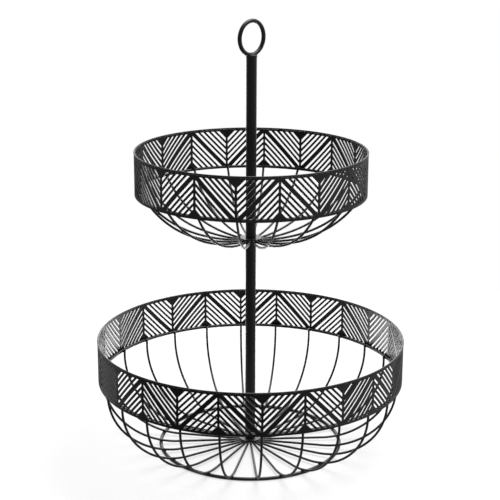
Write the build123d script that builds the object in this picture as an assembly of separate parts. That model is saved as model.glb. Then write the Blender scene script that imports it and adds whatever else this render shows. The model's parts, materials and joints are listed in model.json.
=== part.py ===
"""Two-tier wire basket on a centre pole, with slotted chevron bands and a ring handle.

Millimetres, +Z up. The origin is on the pole's axis, on the surface that the base ring stands on.
The front is towards -Y. Angles are in degrees, and a positive one turns from +X towards +Y.
"""
from build123d import *
from math import atan2, cos, degrees, radians, sin, sqrt
import os

overall_height = 422.5
front_angle = -90.0

# Wires and sheet
rim_wire_d = 1.6
band_wire_d = 3.0
rib_wire_d = 2.3
base_wire_d = 3.4
handle_wire_d = 4.0
sheet_thickness = 1.0

# Clearances: between welded wires, between two rib ends at a hub, and round a bush or a screw
weld_gap = 0.05
rib_end_gap = 0.1
fit_gap = 0.05

# Lower basket. Two panels of the band make one repeat of its pattern
lower_rim_d = 300.0
lower_rim_top = 113.3
lower_panel_pairs = 12
lower_turn_angle = 4.1
lower_floor_d = 146.0
lower_bend_angle = 48.0
lower_shoulder_r = 62.0

# Upper basket
upper_rim_d = 222.3
upper_rim_top = 299.3
upper_panel_pairs = 9
upper_turn_angle = -6.9
upper_floor_d = 19.4
upper_bend_angle = 17.0
upper_shoulder_r = 98.0
upper_floor_z = 211.0

# Slotted band, the same pattern on both baskets. A rise is a height measured straight up the band
band_drop = 41.8
slots_each_side = 5
slot_rise = 3.05
bar_rise = 3.0
main_bar_rise = 6.0
border_bar = 2.1
top_margin = 1.6
bottom_margin = 2.5

# Foot, hubs, and how far a rib runs on past the wire that it is welded to
base_ring_d = 181.8
hub_d = 21.6
hub_thickness = 1.5
hub_hole_d = 5.5
rib_tail = 2.0

# Pole, the threaded bushes in its ends, the stud between its halves and the screw below
pole_d = 10.0
pole_wall = 1.2
bush_length = 12.0
thread_d = 5.0
stud_engagement = 10.0
screw_engagement = 9.0
screw_head_d = 9.5
screw_head_height = 2.75
screw_head_round = 1.6
screw_socket_flats = 3.0
screw_socket_depth = 1.6

# Handle ring, and the cap on the pole that it is welded to
handle_ring_d = 35.2
handle_turn_angle = 45.0
cap_d = 10.5
cap_height = 3.2
cap_round = 0.6
cap_plug_length = 8.0
cap_saddle_depth = 2.0

# How far a cutter runs past the surface that it cuts
cut_over = 1.0


def basket(rim_d, rim_top, panel_pairs, turn, floor_d, bend_angle, shoulder_r):
    """A basket's own sizes, and those that follow from them."""
    sheet_r = (rim_d - rim_wire_d) / 2
    band_bottom = rim_top - band_drop
    panel_angle = 180 / panel_pairs
    return {
        "pairs": panel_pairs,
        "panel_angle": panel_angle,
        "start_angle": front_angle + turn,
        "sheet_r": sheet_r,
        "rim_z": rim_top - rim_wire_d / 2,
        "band_top": rim_top - rim_wire_d - weld_gap,
        "band_bottom": band_bottom,
        "wire_r": sheet_r - (sheet_thickness + band_wire_d) / 2 - weld_gap,
        "wire_z": band_bottom + band_wire_d / 2,
        "floor_r": floor_d / 2,
        "bend_angle": bend_angle,
        "shoulder_r": shoulder_r,
        "rib_end_r": (rib_wire_d + rib_end_gap) / (2 * sin(radians(panel_angle / 2))),
    }


def bend_radius(tier, floor_z):
    """Radius of a rib's bend, so that its shoulder arc passes just inside the wire at the band's foot.

    The bend's centre stands over the end of the floor. The shoulder's centre lies on the line from
    there to the end of the bend, at a spread from it. The spread solves a quadratic.
    """
    turn = radians(tier["bend_angle"])
    out = tier["wire_r"] - tier["floor_r"]
    up = tier["wire_z"] - floor_z - tier["shoulder_r"]
    reach = tier["shoulder_r"] + (band_wire_d + rib_wire_d) / 2 + weld_gap
    tilt = 1 - cos(turn)
    half_sum = out * sin(turn) + up * tilt
    spread = (half_sum - sqrt(half_sum**2 - 2 * tilt * (out**2 + up**2 - reach**2))) / (2 * tilt)
    return tier["shoulder_r"] + spread


def floor_on_base_ring(tier):
    """Height of the floor of a basket whose ribs lie on the base ring, flat or with their bends."""
    lean = max((base_ring_d - base_wire_d) / 2 - tier["floor_r"], 0)
    floor_z = base_wire_d
    for settling in range(12):
        bend_r = bend_radius(tier, floor_z)
        reach = bend_r + (base_wire_d + rib_wire_d) / 2 + weld_gap
        floor_z = base_wire_d / 2 + sqrt(reach**2 - lean**2) - bend_r
    return floor_z


lower = basket(
    lower_rim_d,
    lower_rim_top,
    lower_panel_pairs,
    lower_turn_angle,
    lower_floor_d,
    lower_bend_angle,
    lower_shoulder_r,
)
upper = basket(
    upper_rim_d,
    upper_rim_top,
    upper_panel_pairs,
    upper_turn_angle,
    upper_floor_d,
    upper_bend_angle,
    upper_shoulder_r,
)

# Heights of the floor wires, of the hub discs lying on them, and of the pole's ends
lower_floor_z = floor_on_base_ring(lower)
lower_hub_z = lower_floor_z + rib_wire_d / 2 + weld_gap
upper_hub_z = upper_floor_z + rib_wire_d / 2 + weld_gap
lower_pole_bottom = lower_hub_z + hub_thickness
upper_pole_bottom = upper_hub_z + hub_thickness
cap_top = overall_height - handle_ring_d + cap_saddle_depth
pole_top = cap_top - cap_height
pole_bore_d = pole_d - 2 * pole_wall
plug_d = pole_bore_d - 2 * fit_gap


def round_bar(diameter, bottom, top):
    """An upright cylinder on the pole's axis."""
    return Pos(0, 0, bottom) * Cylinder(
        diameter / 2, top - bottom, align=(Align.CENTER, Align.CENTER, Align.MIN)
    )


def wire_ring(radius, wire_d, height):
    """A wire bent round and welded into a level ring."""
    return Pos(0, 0, height) * Torus(radius, wire_d / 2)


def rib(tier, floor_z):
    """One rib in the XZ plane: flat out from the hub, then the bend, then the shoulder."""
    floor_r = tier["floor_r"]
    shoulder_r = tier["shoulder_r"]
    bend_r = bend_radius(tier, floor_z)
    turn = radians(tier["bend_angle"])
    shoulder_x = floor_r + (bend_r - shoulder_r) * sin(turn)
    shoulder_z = floor_z + bend_r - (bend_r - shoulder_r) * cos(turn)
    wire_angle = degrees(atan2(tier["wire_z"] - shoulder_z, tier["wire_r"] - shoulder_x))
    bend_end_angle = tier["bend_angle"] - 90
    end_angle = wire_angle + degrees(rib_tail / shoulder_r)
    run = Line((tier["rib_end_r"], floor_z), (floor_r, floor_z))
    run += CenterArc((floor_r, floor_z + bend_r), bend_r, -90, tier["bend_angle"])
    run += CenterArc((shoulder_x, shoulder_z), shoulder_r, bend_end_angle, end_angle - bend_end_angle)
    start = Plane(origin=(tier["rib_end_r"], 0, floor_z), z_dir=(1, 0, 0))
    return sweep(start * Circle(rib_wire_d / 2), path=Plane.XZ * run)


def slot_outlines(tier):
    """The slots of one flattened panel, as corner points (along the band, up the band).

    The panel's main bar runs from its lower left corner to its upper right one. The slots lie
    parallel to it on both sides, and end at the bars on the panel's borders and at its margins.
    """
    width = tier["sheet_r"] * radians(tier["panel_angle"])
    height = tier["band_top"] - tier["band_bottom"]
    slope = height / width
    left = border_bar / 2
    right = width - border_bar / 2
    roof = height - top_margin
    outlines = []
    for row in range(slots_each_side):
        near = main_bar_rise / 2 + row * (slot_rise + bar_rise)
        far = near + slot_rise
        outlines.append(
            [
                (left, left * slope + near),
                (left, left * slope + far),
                ((roof - far) / slope, roof),
                ((roof - near) / slope, roof),
            ]
        )
        outlines.append(
            [
                (right, right * slope - near),
                (right, right * slope - far),
                ((bottom_margin + far) / slope, bottom_margin),
                ((bottom_margin + near) / slope, bottom_margin),
            ]
        )
    return outlines, width


def slot_cutters(tier):
    """A straight cutter through the rolled sheet for each slot of the panel from angle zero."""
    sheet_r = tier["sheet_r"]
    half_angle = radians(tier["panel_angle"] / 2)
    outlines, width = slot_outlines(tier)
    middle = Plane(
        origin=(sheet_r * cos(half_angle), sheet_r * sin(half_angle), tier["band_bottom"]),
        x_dir=(-sin(half_angle), cos(half_angle), 0),
        z_dir=(cos(half_angle), sin(half_angle), 0),
    )
    reach = sheet_thickness / 2 + sheet_r * (1 - cos(half_angle)) + cut_over
    cutters = []
    for corners in outlines:
        flat = [(sheet_r * sin((along - width / 2) / sheet_r), up) for along, up in corners]
        cutters.append(extrude(middle * make_face(Polyline(*flat, close=True)), amount=reach, both=True))
    return cutters


def band(tier):
    """The rolled band, its panels and their mirror images by turns all the way round."""
    sheet_d = 2 * tier["sheet_r"]
    bottom = tier["band_bottom"]
    top = tier["band_top"]
    border = radians(tier["panel_angle"])
    mirror_plane = Plane(origin=(0, 0, 0), z_dir=(-sin(border), cos(border), 0))
    panel = slot_cutters(tier)
    pair = panel + [mirror(cutter, about=mirror_plane) for cutter in panel]
    cutters = []
    for number in range(tier["pairs"]):
        turned = Rot(0, 0, tier["start_angle"] + 2 * tier["panel_angle"] * number)
        cutters += [turned * cutter for cutter in pair]
    sheet = round_bar(sheet_d + sheet_thickness, bottom, top) - round_bar(
        sheet_d - sheet_thickness, bottom - cut_over, top + cut_over
    )
    return sheet.cut(*cutters)


def hub(height):
    """The disc that a basket's ribs are welded under, and that the pole clamps."""
    disc = round_bar(hub_d, height, height + hub_thickness)
    return disc - round_bar(hub_hole_d, height - cut_over, height + hub_thickness + cut_over)


def tube(bottom, top):
    """A length of the pole."""
    return round_bar(pole_d, bottom, top) - round_bar(pole_bore_d, bottom - cut_over, top + cut_over)


def bush(bottom):
    """A threaded bush pressed into an end of the pole. Its thread is left plain."""
    top = bottom + bush_length
    return round_bar(plug_d, bottom, top) - round_bar(
        thread_d + 2 * fit_gap, bottom - cut_over, top + cut_over
    )


def pole_screw():
    """The socket screw that pulls the lower hub up against the pole."""
    head_bottom = lower_hub_z - screw_head_height
    head = round_bar(screw_head_d, head_bottom, lower_hub_z)
    head = fillet(head.edges().sort_by(Axis.Z)[0], screw_head_round)
    socket = Pos(0, 0, head_bottom - cut_over) * extrude(
        RegularPolygon(screw_socket_flats / 2, 6, major_radius=False),
        amount=screw_socket_depth + cut_over,
    )
    shank = round_bar(thread_d, lower_hub_z, lower_pole_bottom + screw_engagement)
    return head + shank - socket


def handle_ring(wire_d):
    """The ring that the basket is carried by, standing upright on the pole."""
    centre = Pos(0, 0, overall_height - handle_ring_d / 2)
    radius = (handle_ring_d - handle_wire_d) / 2
    return centre * Rot(0, 0, handle_turn_angle) * Rot(90, 0, 0) * Torus(radius, wire_d / 2)


def pole_cap():
    """The plug that closes the pole, with a saddle across its top for the handle ring."""
    head = round_bar(cap_d, pole_top, cap_top)
    head = fillet(head.edges().filter_by(GeomType.CIRCLE), cap_round)
    plug = round_bar(plug_d, pole_top - cap_plug_length, pole_top)
    return head + plug - handle_ring(handle_wire_d + 2 * weld_gap)


def basket_nodes(name, tier, floor_z, hub_z):
    """A basket's pieces by node name."""
    nodes = {
        f"{name}_rim_wire": wire_ring(tier["sheet_r"], rim_wire_d, tier["rim_z"]),
        f"{name}_band": band(tier),
        f"{name}_band_wire": wire_ring(tier["wire_r"], band_wire_d, tier["wire_z"]),
        f"{name}_hub": hub(hub_z),
    }
    one_rib = rib(tier, floor_z)
    for number in range(2 * tier["pairs"]):
        turned = Rot(0, 0, tier["start_angle"] + tier["panel_angle"] * number)
        nodes[f"{name}_rib_{number + 1:02d}"] = turned * one_rib
    return nodes


def build():
    """Every node of the basket."""
    nodes = basket_nodes("lower", lower, lower_floor_z, lower_hub_z)
    nodes.update(basket_nodes("upper", upper, upper_floor_z, upper_hub_z))
    base_ring_r = (base_ring_d - base_wire_d) / 2
    nodes["base_ring"] = wire_ring(base_ring_r, base_wire_d, base_wire_d / 2)
    nodes["lower_pole"] = tube(lower_pole_bottom, upper_hub_z)
    nodes["upper_pole"] = tube(upper_pole_bottom, pole_top)
    bushes = [bush(lower_pole_bottom), bush(upper_hub_z - bush_length), bush(upper_pole_bottom)]
    nodes["pole_bushes"] = Compound(children=bushes)
    nodes["pole_stud"] = round_bar(
        thread_d, upper_hub_z - stud_engagement, upper_pole_bottom + stud_engagement
    )
    nodes["pole_screw"] = pole_screw()
    nodes["pole_cap"] = pole_cap()
    nodes["handle_ring"] = handle_ring(handle_wire_d)
    return nodes


os.makedirs("parts", exist_ok=True)
for node, shape in build().items():
    export_step(shape, f"parts/{node}.step")
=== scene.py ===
import json
from math import atan2, cos, hypot, pi, sin

import bmesh
import bpy
from mathutils import Matrix, Vector, noise


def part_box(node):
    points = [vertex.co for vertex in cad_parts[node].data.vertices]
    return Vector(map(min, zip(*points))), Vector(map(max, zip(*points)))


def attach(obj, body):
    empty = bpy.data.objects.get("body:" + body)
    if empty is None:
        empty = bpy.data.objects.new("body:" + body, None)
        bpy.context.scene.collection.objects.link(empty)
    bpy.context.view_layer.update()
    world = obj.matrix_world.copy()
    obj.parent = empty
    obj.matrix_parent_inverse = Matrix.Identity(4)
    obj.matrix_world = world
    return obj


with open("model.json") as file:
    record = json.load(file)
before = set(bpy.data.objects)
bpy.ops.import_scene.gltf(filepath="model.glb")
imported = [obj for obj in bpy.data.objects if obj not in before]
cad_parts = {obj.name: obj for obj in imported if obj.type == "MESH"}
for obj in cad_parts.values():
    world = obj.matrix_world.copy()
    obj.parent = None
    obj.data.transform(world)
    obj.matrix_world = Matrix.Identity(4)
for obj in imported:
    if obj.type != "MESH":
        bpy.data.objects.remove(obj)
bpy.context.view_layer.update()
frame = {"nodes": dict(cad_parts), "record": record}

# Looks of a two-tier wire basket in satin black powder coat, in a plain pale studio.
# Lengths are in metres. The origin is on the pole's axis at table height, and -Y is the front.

MM = 0.001

# The photo's camera: its frame in pixels, its focal length in them, its place and its turns
photo_side = 500
focal_pixels = 1376.2
camera_place = (-0.785 * MM, -1275.4 * MM, 570.7 * MM)
camera_down = 0.2823
camera_roll = 0.004
camera_reach = 100
sensor_width = 36.0

# Powder coat: the size, the detail and the roughness of its orange peel, of its grain and of its
# slow changes of tone, then how high the first two stand
peel_noise = (0.9 * MM, 1.0, 0.4)
grain_noise = (0.25 * MM, 2.0, 0.5)
cloud_noise = (35.0 * MM, 3.0, 0.55)
peel_height = 0.02 * MM
grain_height = 0.005 * MM
grain_strength = 0.5
coat_specular = 0.5

# The coat on wire and tube, and on the sheet, where it is flatter and rounds the cut edges: its
# darkest and lightest tone, its lowest and highest roughness, and the strength of its peel
wire_tones = ((0.0015, 0.0015, 0.0016), (0.0028, 0.0028, 0.0029))
wire_rough = (0.36, 0.46)
wire_peel = 0.7
sheet_tones = ((0.0016, 0.0016, 0.0017), (0.0030, 0.0030, 0.0031))
sheet_rough = (0.36, 0.44)
sheet_peel = 0.3
edge_round = 0.2 * MM
edge_samples = 4

# Zinc plating on the screw
zinc_noise = (1.6 * MM, 3.0, 0.6)
zinc_tones = ((0.42, 0.43, 0.44), (0.60, 0.60, 0.59))
zinc_rough = (0.24, 0.4)

# The part of a noise's values that is stretched over two tones, and over two roughnesses
tone_span = (0.35, 0.65)
rough_span = (0.3, 0.7)

# Welds: half the size of a bead along the two wires and through them, and how uneven it is
cross_weld = (1.7 * MM, 1.5 * MM, 0.75 * MM)
hub_weld = (1.5 * MM, 1.35 * MM, 0.6 * MM)
saddle_weld = (4.9 * MM, 3.1 * MM, 1.3 * MM)
weld_rough = 0.12
weld_grain = 1.1 * MM
bead_subdivisions = 2

# The floor is a round sheet. Past it the camera sees the white surroundings. It glows with a
# painted light of its own, as if lit from below, which softens the shadows on it
floor_d = 1.2
floor_segments = 48
floor_noise = (0.4, 2.0, 0.5)
floor_albedo = 0.27
floor_dimmest = 0.98
floor_glow = 0.6
floor_rough = 0.9
floor_specular = 0.1

# The gloss of the coat mirrors a painted glow in place of the floor, dimmer than the floor looks: a
# painted reflection. How dim depends on how far a place reaches along a direction: black up to the first
# limit, and at its full level from the second
mirrored_glow = 0.45
mirrored_along = (0.5, 1.0, 0.0)
mirrored_span = (-0.34, -0.06)

# The surroundings: their level away from their bright side and towards it, and under the horizon
# on the left and on the right. Each span says where a direction's part goes from one to the other
sky_levels = (0.15, 1.3)
sky_bright_from = (0.15, 0.9, 0.3)
sky_span = (-0.2, 0.8)
low_levels = (0.22, 0.45)
low_span = (-0.6, 0.9)
horizon_span = (-0.12, 0.08)

nodes = frame["nodes"]


def node_names(start):
    """The CAD nodes whose names start like this, in order."""
    return sorted(name for name in nodes if name.startswith(start))


def add_object(name, data):
    """A new object in the scene."""
    made = bpy.data.objects.new(name, data)
    bpy.context.scene.collection.objects.link(made)
    return made


# Materials


def new_material(name):
    """A node material: itself, its node tree, its surface shader and the object's own place."""
    material = bpy.data.materials.new(name)
    material.use_nodes = True
    tree = material.node_tree
    place = tree.nodes.new("ShaderNodeTexCoord").outputs["Object"]
    return material, tree, tree.nodes["Principled BSDF"], place


def noise_node(tree, place, size, detail, roughness):
    """A noise with features of about the given size."""
    texture = tree.nodes.new("ShaderNodeTexNoise")
    texture.inputs["Scale"].default_value = 1 / size
    texture.inputs["Detail"].default_value = detail
    texture.inputs["Roughness"].default_value = roughness
    tree.links.new(place, texture.inputs["Vector"])
    return texture.outputs["Fac"]


def tone_ramp(tree, value, tones):
    """Two tones mixed by a noise."""
    ramp = tree.nodes.new("ShaderNodeValToRGB")
    for element, position, tone in zip(ramp.color_ramp.elements, tone_span, tones):
        element.position = position
        element.color = (*tone, 1)
    tree.links.new(value, ramp.inputs["Fac"])
    return ramp.outputs["Color"]


def dot_node(tree, vector, direction):
    """How far a vector reaches along a fixed direction."""
    node = tree.nodes.new("ShaderNodeVectorMath")
    node.operation = "DOT_PRODUCT"
    node.inputs[1].default_value = direction
    tree.links.new(vector, node.inputs[0])
    return node.outputs["Value"]


def map_range(tree, value, span, levels):
    """A value carried from a span into two levels and between them."""
    node = tree.nodes.new("ShaderNodeMapRange")
    for name, limit in zip(("From Min", "From Max", "To Min", "To Max"), (*span, *levels)):
        node.inputs[name].default_value = limit
    tree.links.new(value, node.inputs["Value"])
    return node.outputs["Result"]


def bump_node(tree, height, distance, strength, below=None):
    """A bump, on top of another one or of rounded edges."""
    bump = tree.nodes.new("ShaderNodeBump")
    bump.inputs["Strength"].default_value = strength
    bump.inputs["Distance"].default_value = distance
    tree.links.new(height, bump.inputs["Height"])
    if below is not None:
        tree.links.new(below, bump.inputs["Normal"])
    return bump.outputs["Normal"]


def rounded_edges(tree):
    """The surface's direction, turned near a cut edge as if the coat ran round it."""
    bevel = tree.nodes.new("ShaderNodeBevel")
    bevel.samples = edge_samples
    bevel.inputs["Radius"].default_value = edge_round
    return bevel.outputs["Normal"]


def powder_coat(name, tones, rough, peel_strength, edges=False):
    """Satin black powder coat: an orange peel whose gloss changes with it, a fine grain, and slow changes
    of tone.
    """
    material, tree, shader, place = new_material(name)
    clouds = noise_node(tree, place, *cloud_noise)
    peel = noise_node(tree, place, *peel_noise)
    grain = noise_node(tree, place, *grain_noise)
    bumped = bump_node(tree, peel, peel_height, peel_strength, rounded_edges(tree) if edges else None)
    bumped = bump_node(tree, grain, grain_height, grain_strength, bumped)
    tree.links.new(tone_ramp(tree, clouds, tones), shader.inputs["Base Color"])
    tree.links.new(map_range(tree, peel, rough_span, rough), shader.inputs["Roughness"])
    tree.links.new(bumped, shader.inputs["Normal"])
    shader.inputs["Specular IOR Level"].default_value = coat_specular
    return material


def zinc_plate(name):
    """Bright zinc plating with a faint mottle, for the screw underneath."""
    material, tree, shader, place = new_material(name)
    mottle = noise_node(tree, place, *zinc_noise)
    tree.links.new(tone_ramp(tree, mottle, zinc_tones), shader.inputs["Base Color"])
    tree.links.new(map_range(tree, mottle, rough_span, zinc_rough), shader.inputs["Roughness"])
    shader.inputs["Metallic"].default_value = 1.0
    return material


def floor_paint(name):
    """The plain pale floor, with a painted glow of its own as if lit from below, and a dimmer painted
    glow where the coat mirrors it.
    """
    material, tree, shader, place = new_material(name)
    mottle = noise_node(tree, place, *floor_noise)
    pale = tone_ramp(tree, mottle, ((floor_dimmest * floor_albedo,) * 3, (floor_albedo,) * 3))
    tree.links.new(pale, shader.inputs["Base Color"])
    # Painted light: the floor glows on its own, with no lamp below it, and this lifts the shadows on it
    shader.inputs["Emission Color"].default_value = (1, 1, 1, 1)
    shader.inputs["Emission Strength"].default_value = floor_glow
    shader.inputs["Roughness"].default_value = floor_rough
    shader.inputs["Specular IOR Level"].default_value = floor_specular
    # Painted reflection: glossy rays see this set glow instead of the lit floor, darker towards the front
    mirrored = tree.nodes.new("ShaderNodeEmission")
    level = map_range(tree, dot_node(tree, place, mirrored_along), mirrored_span, (0, mirrored_glow))
    tree.links.new(level, mirrored.inputs["Strength"])
    shown = tree.nodes.new("ShaderNodeMixShader")
    tree.links.new(tree.nodes.new("ShaderNodeLightPath").outputs["Is Glossy Ray"], shown.inputs["Fac"])
    tree.links.new(shader.outputs["BSDF"], shown.inputs[1])
    tree.links.new(mirrored.outputs["Emission"], shown.inputs[2])
    tree.links.new(shown.outputs["Shader"], tree.nodes["Material Output"].inputs["Surface"])
    return material


wire_coat = powder_coat("wire_coat", wire_tones, wire_rough, wire_peel)
coats = {
    "coated_wire": wire_coat,
    "coated_sheet": powder_coat("sheet_coat", sheet_tones, sheet_rough, sheet_peel, edges=True),
    "coated_pole": powder_coat("pole_coat", wire_tones, wire_rough, wire_peel),
    "plated_steel": zinc_plate("zinc"),
}


def coat_cad_nodes():
    """Gives each CAD node the coat of its material slot in the record."""
    for part in frame["record"]["subparts"]:
        for slot in nodes[part["node"]].material_slots:
            slot.material = coats[part["material_slot"]]


coat_cad_nodes()


# Welds. The solids leave a hair's gap between the wires, and a bead of metal closes it here


def plane_angle(node):
    """The angle of the upright plane that a wire node lies in."""
    vertices = nodes[node].data.vertices
    middle = sum((v.co for v in vertices), Vector()) / len(vertices)
    return atan2(middle.y, middle.x)


def level_turned(vector):
    """A level vector turned a quarter of the way round."""
    return Vector((-vector.y, vector.x, 0))


def add_bead(beads, place, along, across, half_size):
    """Adds a rough lump of weld to a mesh, longest along one direction."""
    along = along.normalized()
    through = along.cross(across).normalized()
    turn = Matrix((along, through.cross(along), through)).transposed().to_4x4()
    made = bmesh.ops.create_icosphere(beads, subdivisions=bead_subdivisions, radius=1.0)
    for vertex in made["verts"]:
        point = turn @ Vector(c * s for c, s in zip(vertex.co, half_size))
        swell = 1 + weld_rough * noise.noise((place + point) / weld_grain)
        vertex.co = place + point * swell


def ring_of(node):
    """The radius, the height and the wire's diameter of a level wire ring."""
    low, high = (Vector(c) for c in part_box(node))
    wire_d = high.z - low.z
    return (high.x - low.x - wire_d) / 2, (high.z + low.z) / 2, wire_d


def weld_to_ring(beads, ribs, ring):
    """A bead where each rib crosses a wire ring."""
    radius, height, wire_d = ring_of(ring)
    for rib in ribs:
        angle = plane_angle(rib)
        core = Vector((radius * cos(angle), radius * sin(angle), height))
        near = nodes[rib].closest_point_on_mesh(core)[1]
        place = core + (near - core).normalized() * (wire_d / 2)
        round_ring = Vector((-sin(angle), cos(angle), 0))
        add_bead(beads, place, (near - core).cross(round_ring), round_ring, cross_weld)


def weld_to_hub(beads, ribs, hub):
    """A bead under the hub's edge on each rib."""
    low, high = (Vector(c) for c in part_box(hub))
    for rib in ribs:
        angle = plane_angle(rib)
        outward = Vector((cos(angle), sin(angle), 0))
        edge = outward * high.x + Vector((0, 0, low.z))
        add_bead(beads, edge, outward, level_turned(outward), hub_weld)


def weld_handle(beads):
    """The weld that runs along both sides of the handle ring in its saddle on the cap."""
    ring = nodes["handle_ring"].data.vertices
    far = max((v.co for v in ring), key=lambda point: hypot(point.x, point.y))
    along = Vector((far.x, far.y, 0))
    place = Vector((0, 0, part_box("pole_cap")[1][2]))
    add_bead(beads, place, along, level_turned(along), saddle_weld)


def finish_beads(name, beads):
    """Turns gathered beads into a piece on the basket, in the wires' own coat."""
    mesh = bpy.data.meshes.new(name)
    beads.to_mesh(mesh)
    beads.free()
    mesh.materials.append(wire_coat)
    for face in mesh.polygons:
        face.use_smooth = True
    piece = add_object(name, mesh)
    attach(piece, "root")


def weld_basket(name):
    """The beads of one basket: on the wire at the band's foot, and round the hub."""
    ribs = node_names(f"{name}_rib_")
    beads = bmesh.new()
    weld_to_ring(beads, ribs, f"{name}_band_wire")
    weld_to_hub(beads, ribs, f"{name}_hub")
    finish_beads(f"{name}_welds", beads)


weld_basket("lower")
weld_basket("upper")
foot_beads = bmesh.new()
weld_to_ring(foot_beads, node_names("lower_rib_"), "base_ring")
finish_beads("foot_welds", foot_beads)
handle_beads = bmesh.new()
weld_handle(handle_beads)
finish_beads("handle_weld", handle_beads)


# Studio


def floor():
    """A plain pale round floor under the basket."""
    mesh = bpy.data.meshes.new("floor")
    shape = bmesh.new()
    bmesh.ops.create_circle(shape, cap_ends=True, segments=floor_segments, radius=floor_d / 2)
    shape.to_mesh(mesh)
    shape.free()
    mesh.materials.append(floor_paint("floor_paint"))
    made = add_object("floor", mesh)


def softbox(name, place, aim, width, depth, radiance, shape="RECTANGLE"):
    """A soft light of an even brightness at a place, turned to a point. The camera doesn't see it."""
    light = bpy.data.lights.new(name, "AREA")
    light.shape = shape
    light.size = width
    light.size_y = depth
    light.energy = radiance * pi * width * depth * (pi / 4 if shape == "ELLIPSE" else 1)
    made = add_object(name, light)
    made.location = place
    made.rotation_euler = (Vector(aim) - Vector(place)).to_track_quat("-Z", "Y").to_euler()
    made.visible_camera = False
    return made


def glow(name, **placed):
    """A bright patch of the studio that only shows mirrored in the coat."""
    softbox(name, **placed).visible_diffuse = False


def studio_world():
    """White surroundings. They light the basket more from one side, and little from under the horizon."""
    world = bpy.data.worlds.new("studio")
    world.use_nodes = True
    tree = world.node_tree
    background = tree.nodes["Background"]
    background.inputs["Color"].default_value = (1, 1, 1, 1)
    direction = tree.nodes.new("ShaderNodeTexCoord").outputs["Generated"]
    parts = tree.nodes.new("ShaderNodeSeparateXYZ")
    tree.links.new(direction, parts.inputs["Vector"])
    towards = dot_node(tree, direction, Vector(sky_bright_from).normalized())
    lit = tree.nodes.new("ShaderNodeMix")
    tree.links.new(map_range(tree, parts.outputs["Z"], horizon_span, (0, 1)), lit.inputs["Factor"])
    tree.links.new(map_range(tree, parts.outputs["X"], low_span, low_levels), lit.inputs["A"])
    tree.links.new(map_range(tree, towards, sky_span, sky_levels), lit.inputs["B"])
    shown = tree.nodes.new("ShaderNodeMix")
    tree.links.new(tree.nodes.new("ShaderNodeLightPath").outputs["Is Camera Ray"], shown.inputs["Factor"])
    tree.links.new(lit.outputs["Result"], shown.inputs["A"])
    shown.inputs["B"].default_value = 1.0
    tree.links.new(shown.outputs["Result"], background.inputs["Strength"])
    bpy.context.scene.world = world


def photo_camera():
    """The camera at the photo's place and angle."""
    data = bpy.data.cameras.new("photo_camera")
    data.sensor_width = sensor_width
    data.lens = focal_pixels / photo_side * sensor_width
    data.clip_end = camera_reach
    made = add_object("photo_camera", data)
    turn = Matrix.Rotation(pi / 2 - camera_down, 4, "X") @ Matrix.Rotation(camera_roll, 4, "Z")
    made.matrix_world = Matrix.Translation(camera_place) @ turn
    bpy.context.scene.camera = made


floor()
studio_world()
softbox("top_light", place=(1.0, 0.8, 4.3), aim=(0, 0, 0), width=3.6, depth=3.6, radiance=7.0)
glow(
    "floor_glow",
    place=(-0.03, 0.36, 0.001),
    aim=(-0.03, 0.36, 1),
    width=0.34,
    depth=0.42,
    radiance=7.5,
    shape="ELLIPSE",
)
glow("back_glow", place=(0, 0.3, 0.2), aim=(0, 0, 0.2), width=0.36, depth=0.28, radiance=3.0)
photo_camera()
bpy.context.scene.view_settings.view_transform = "Standard"
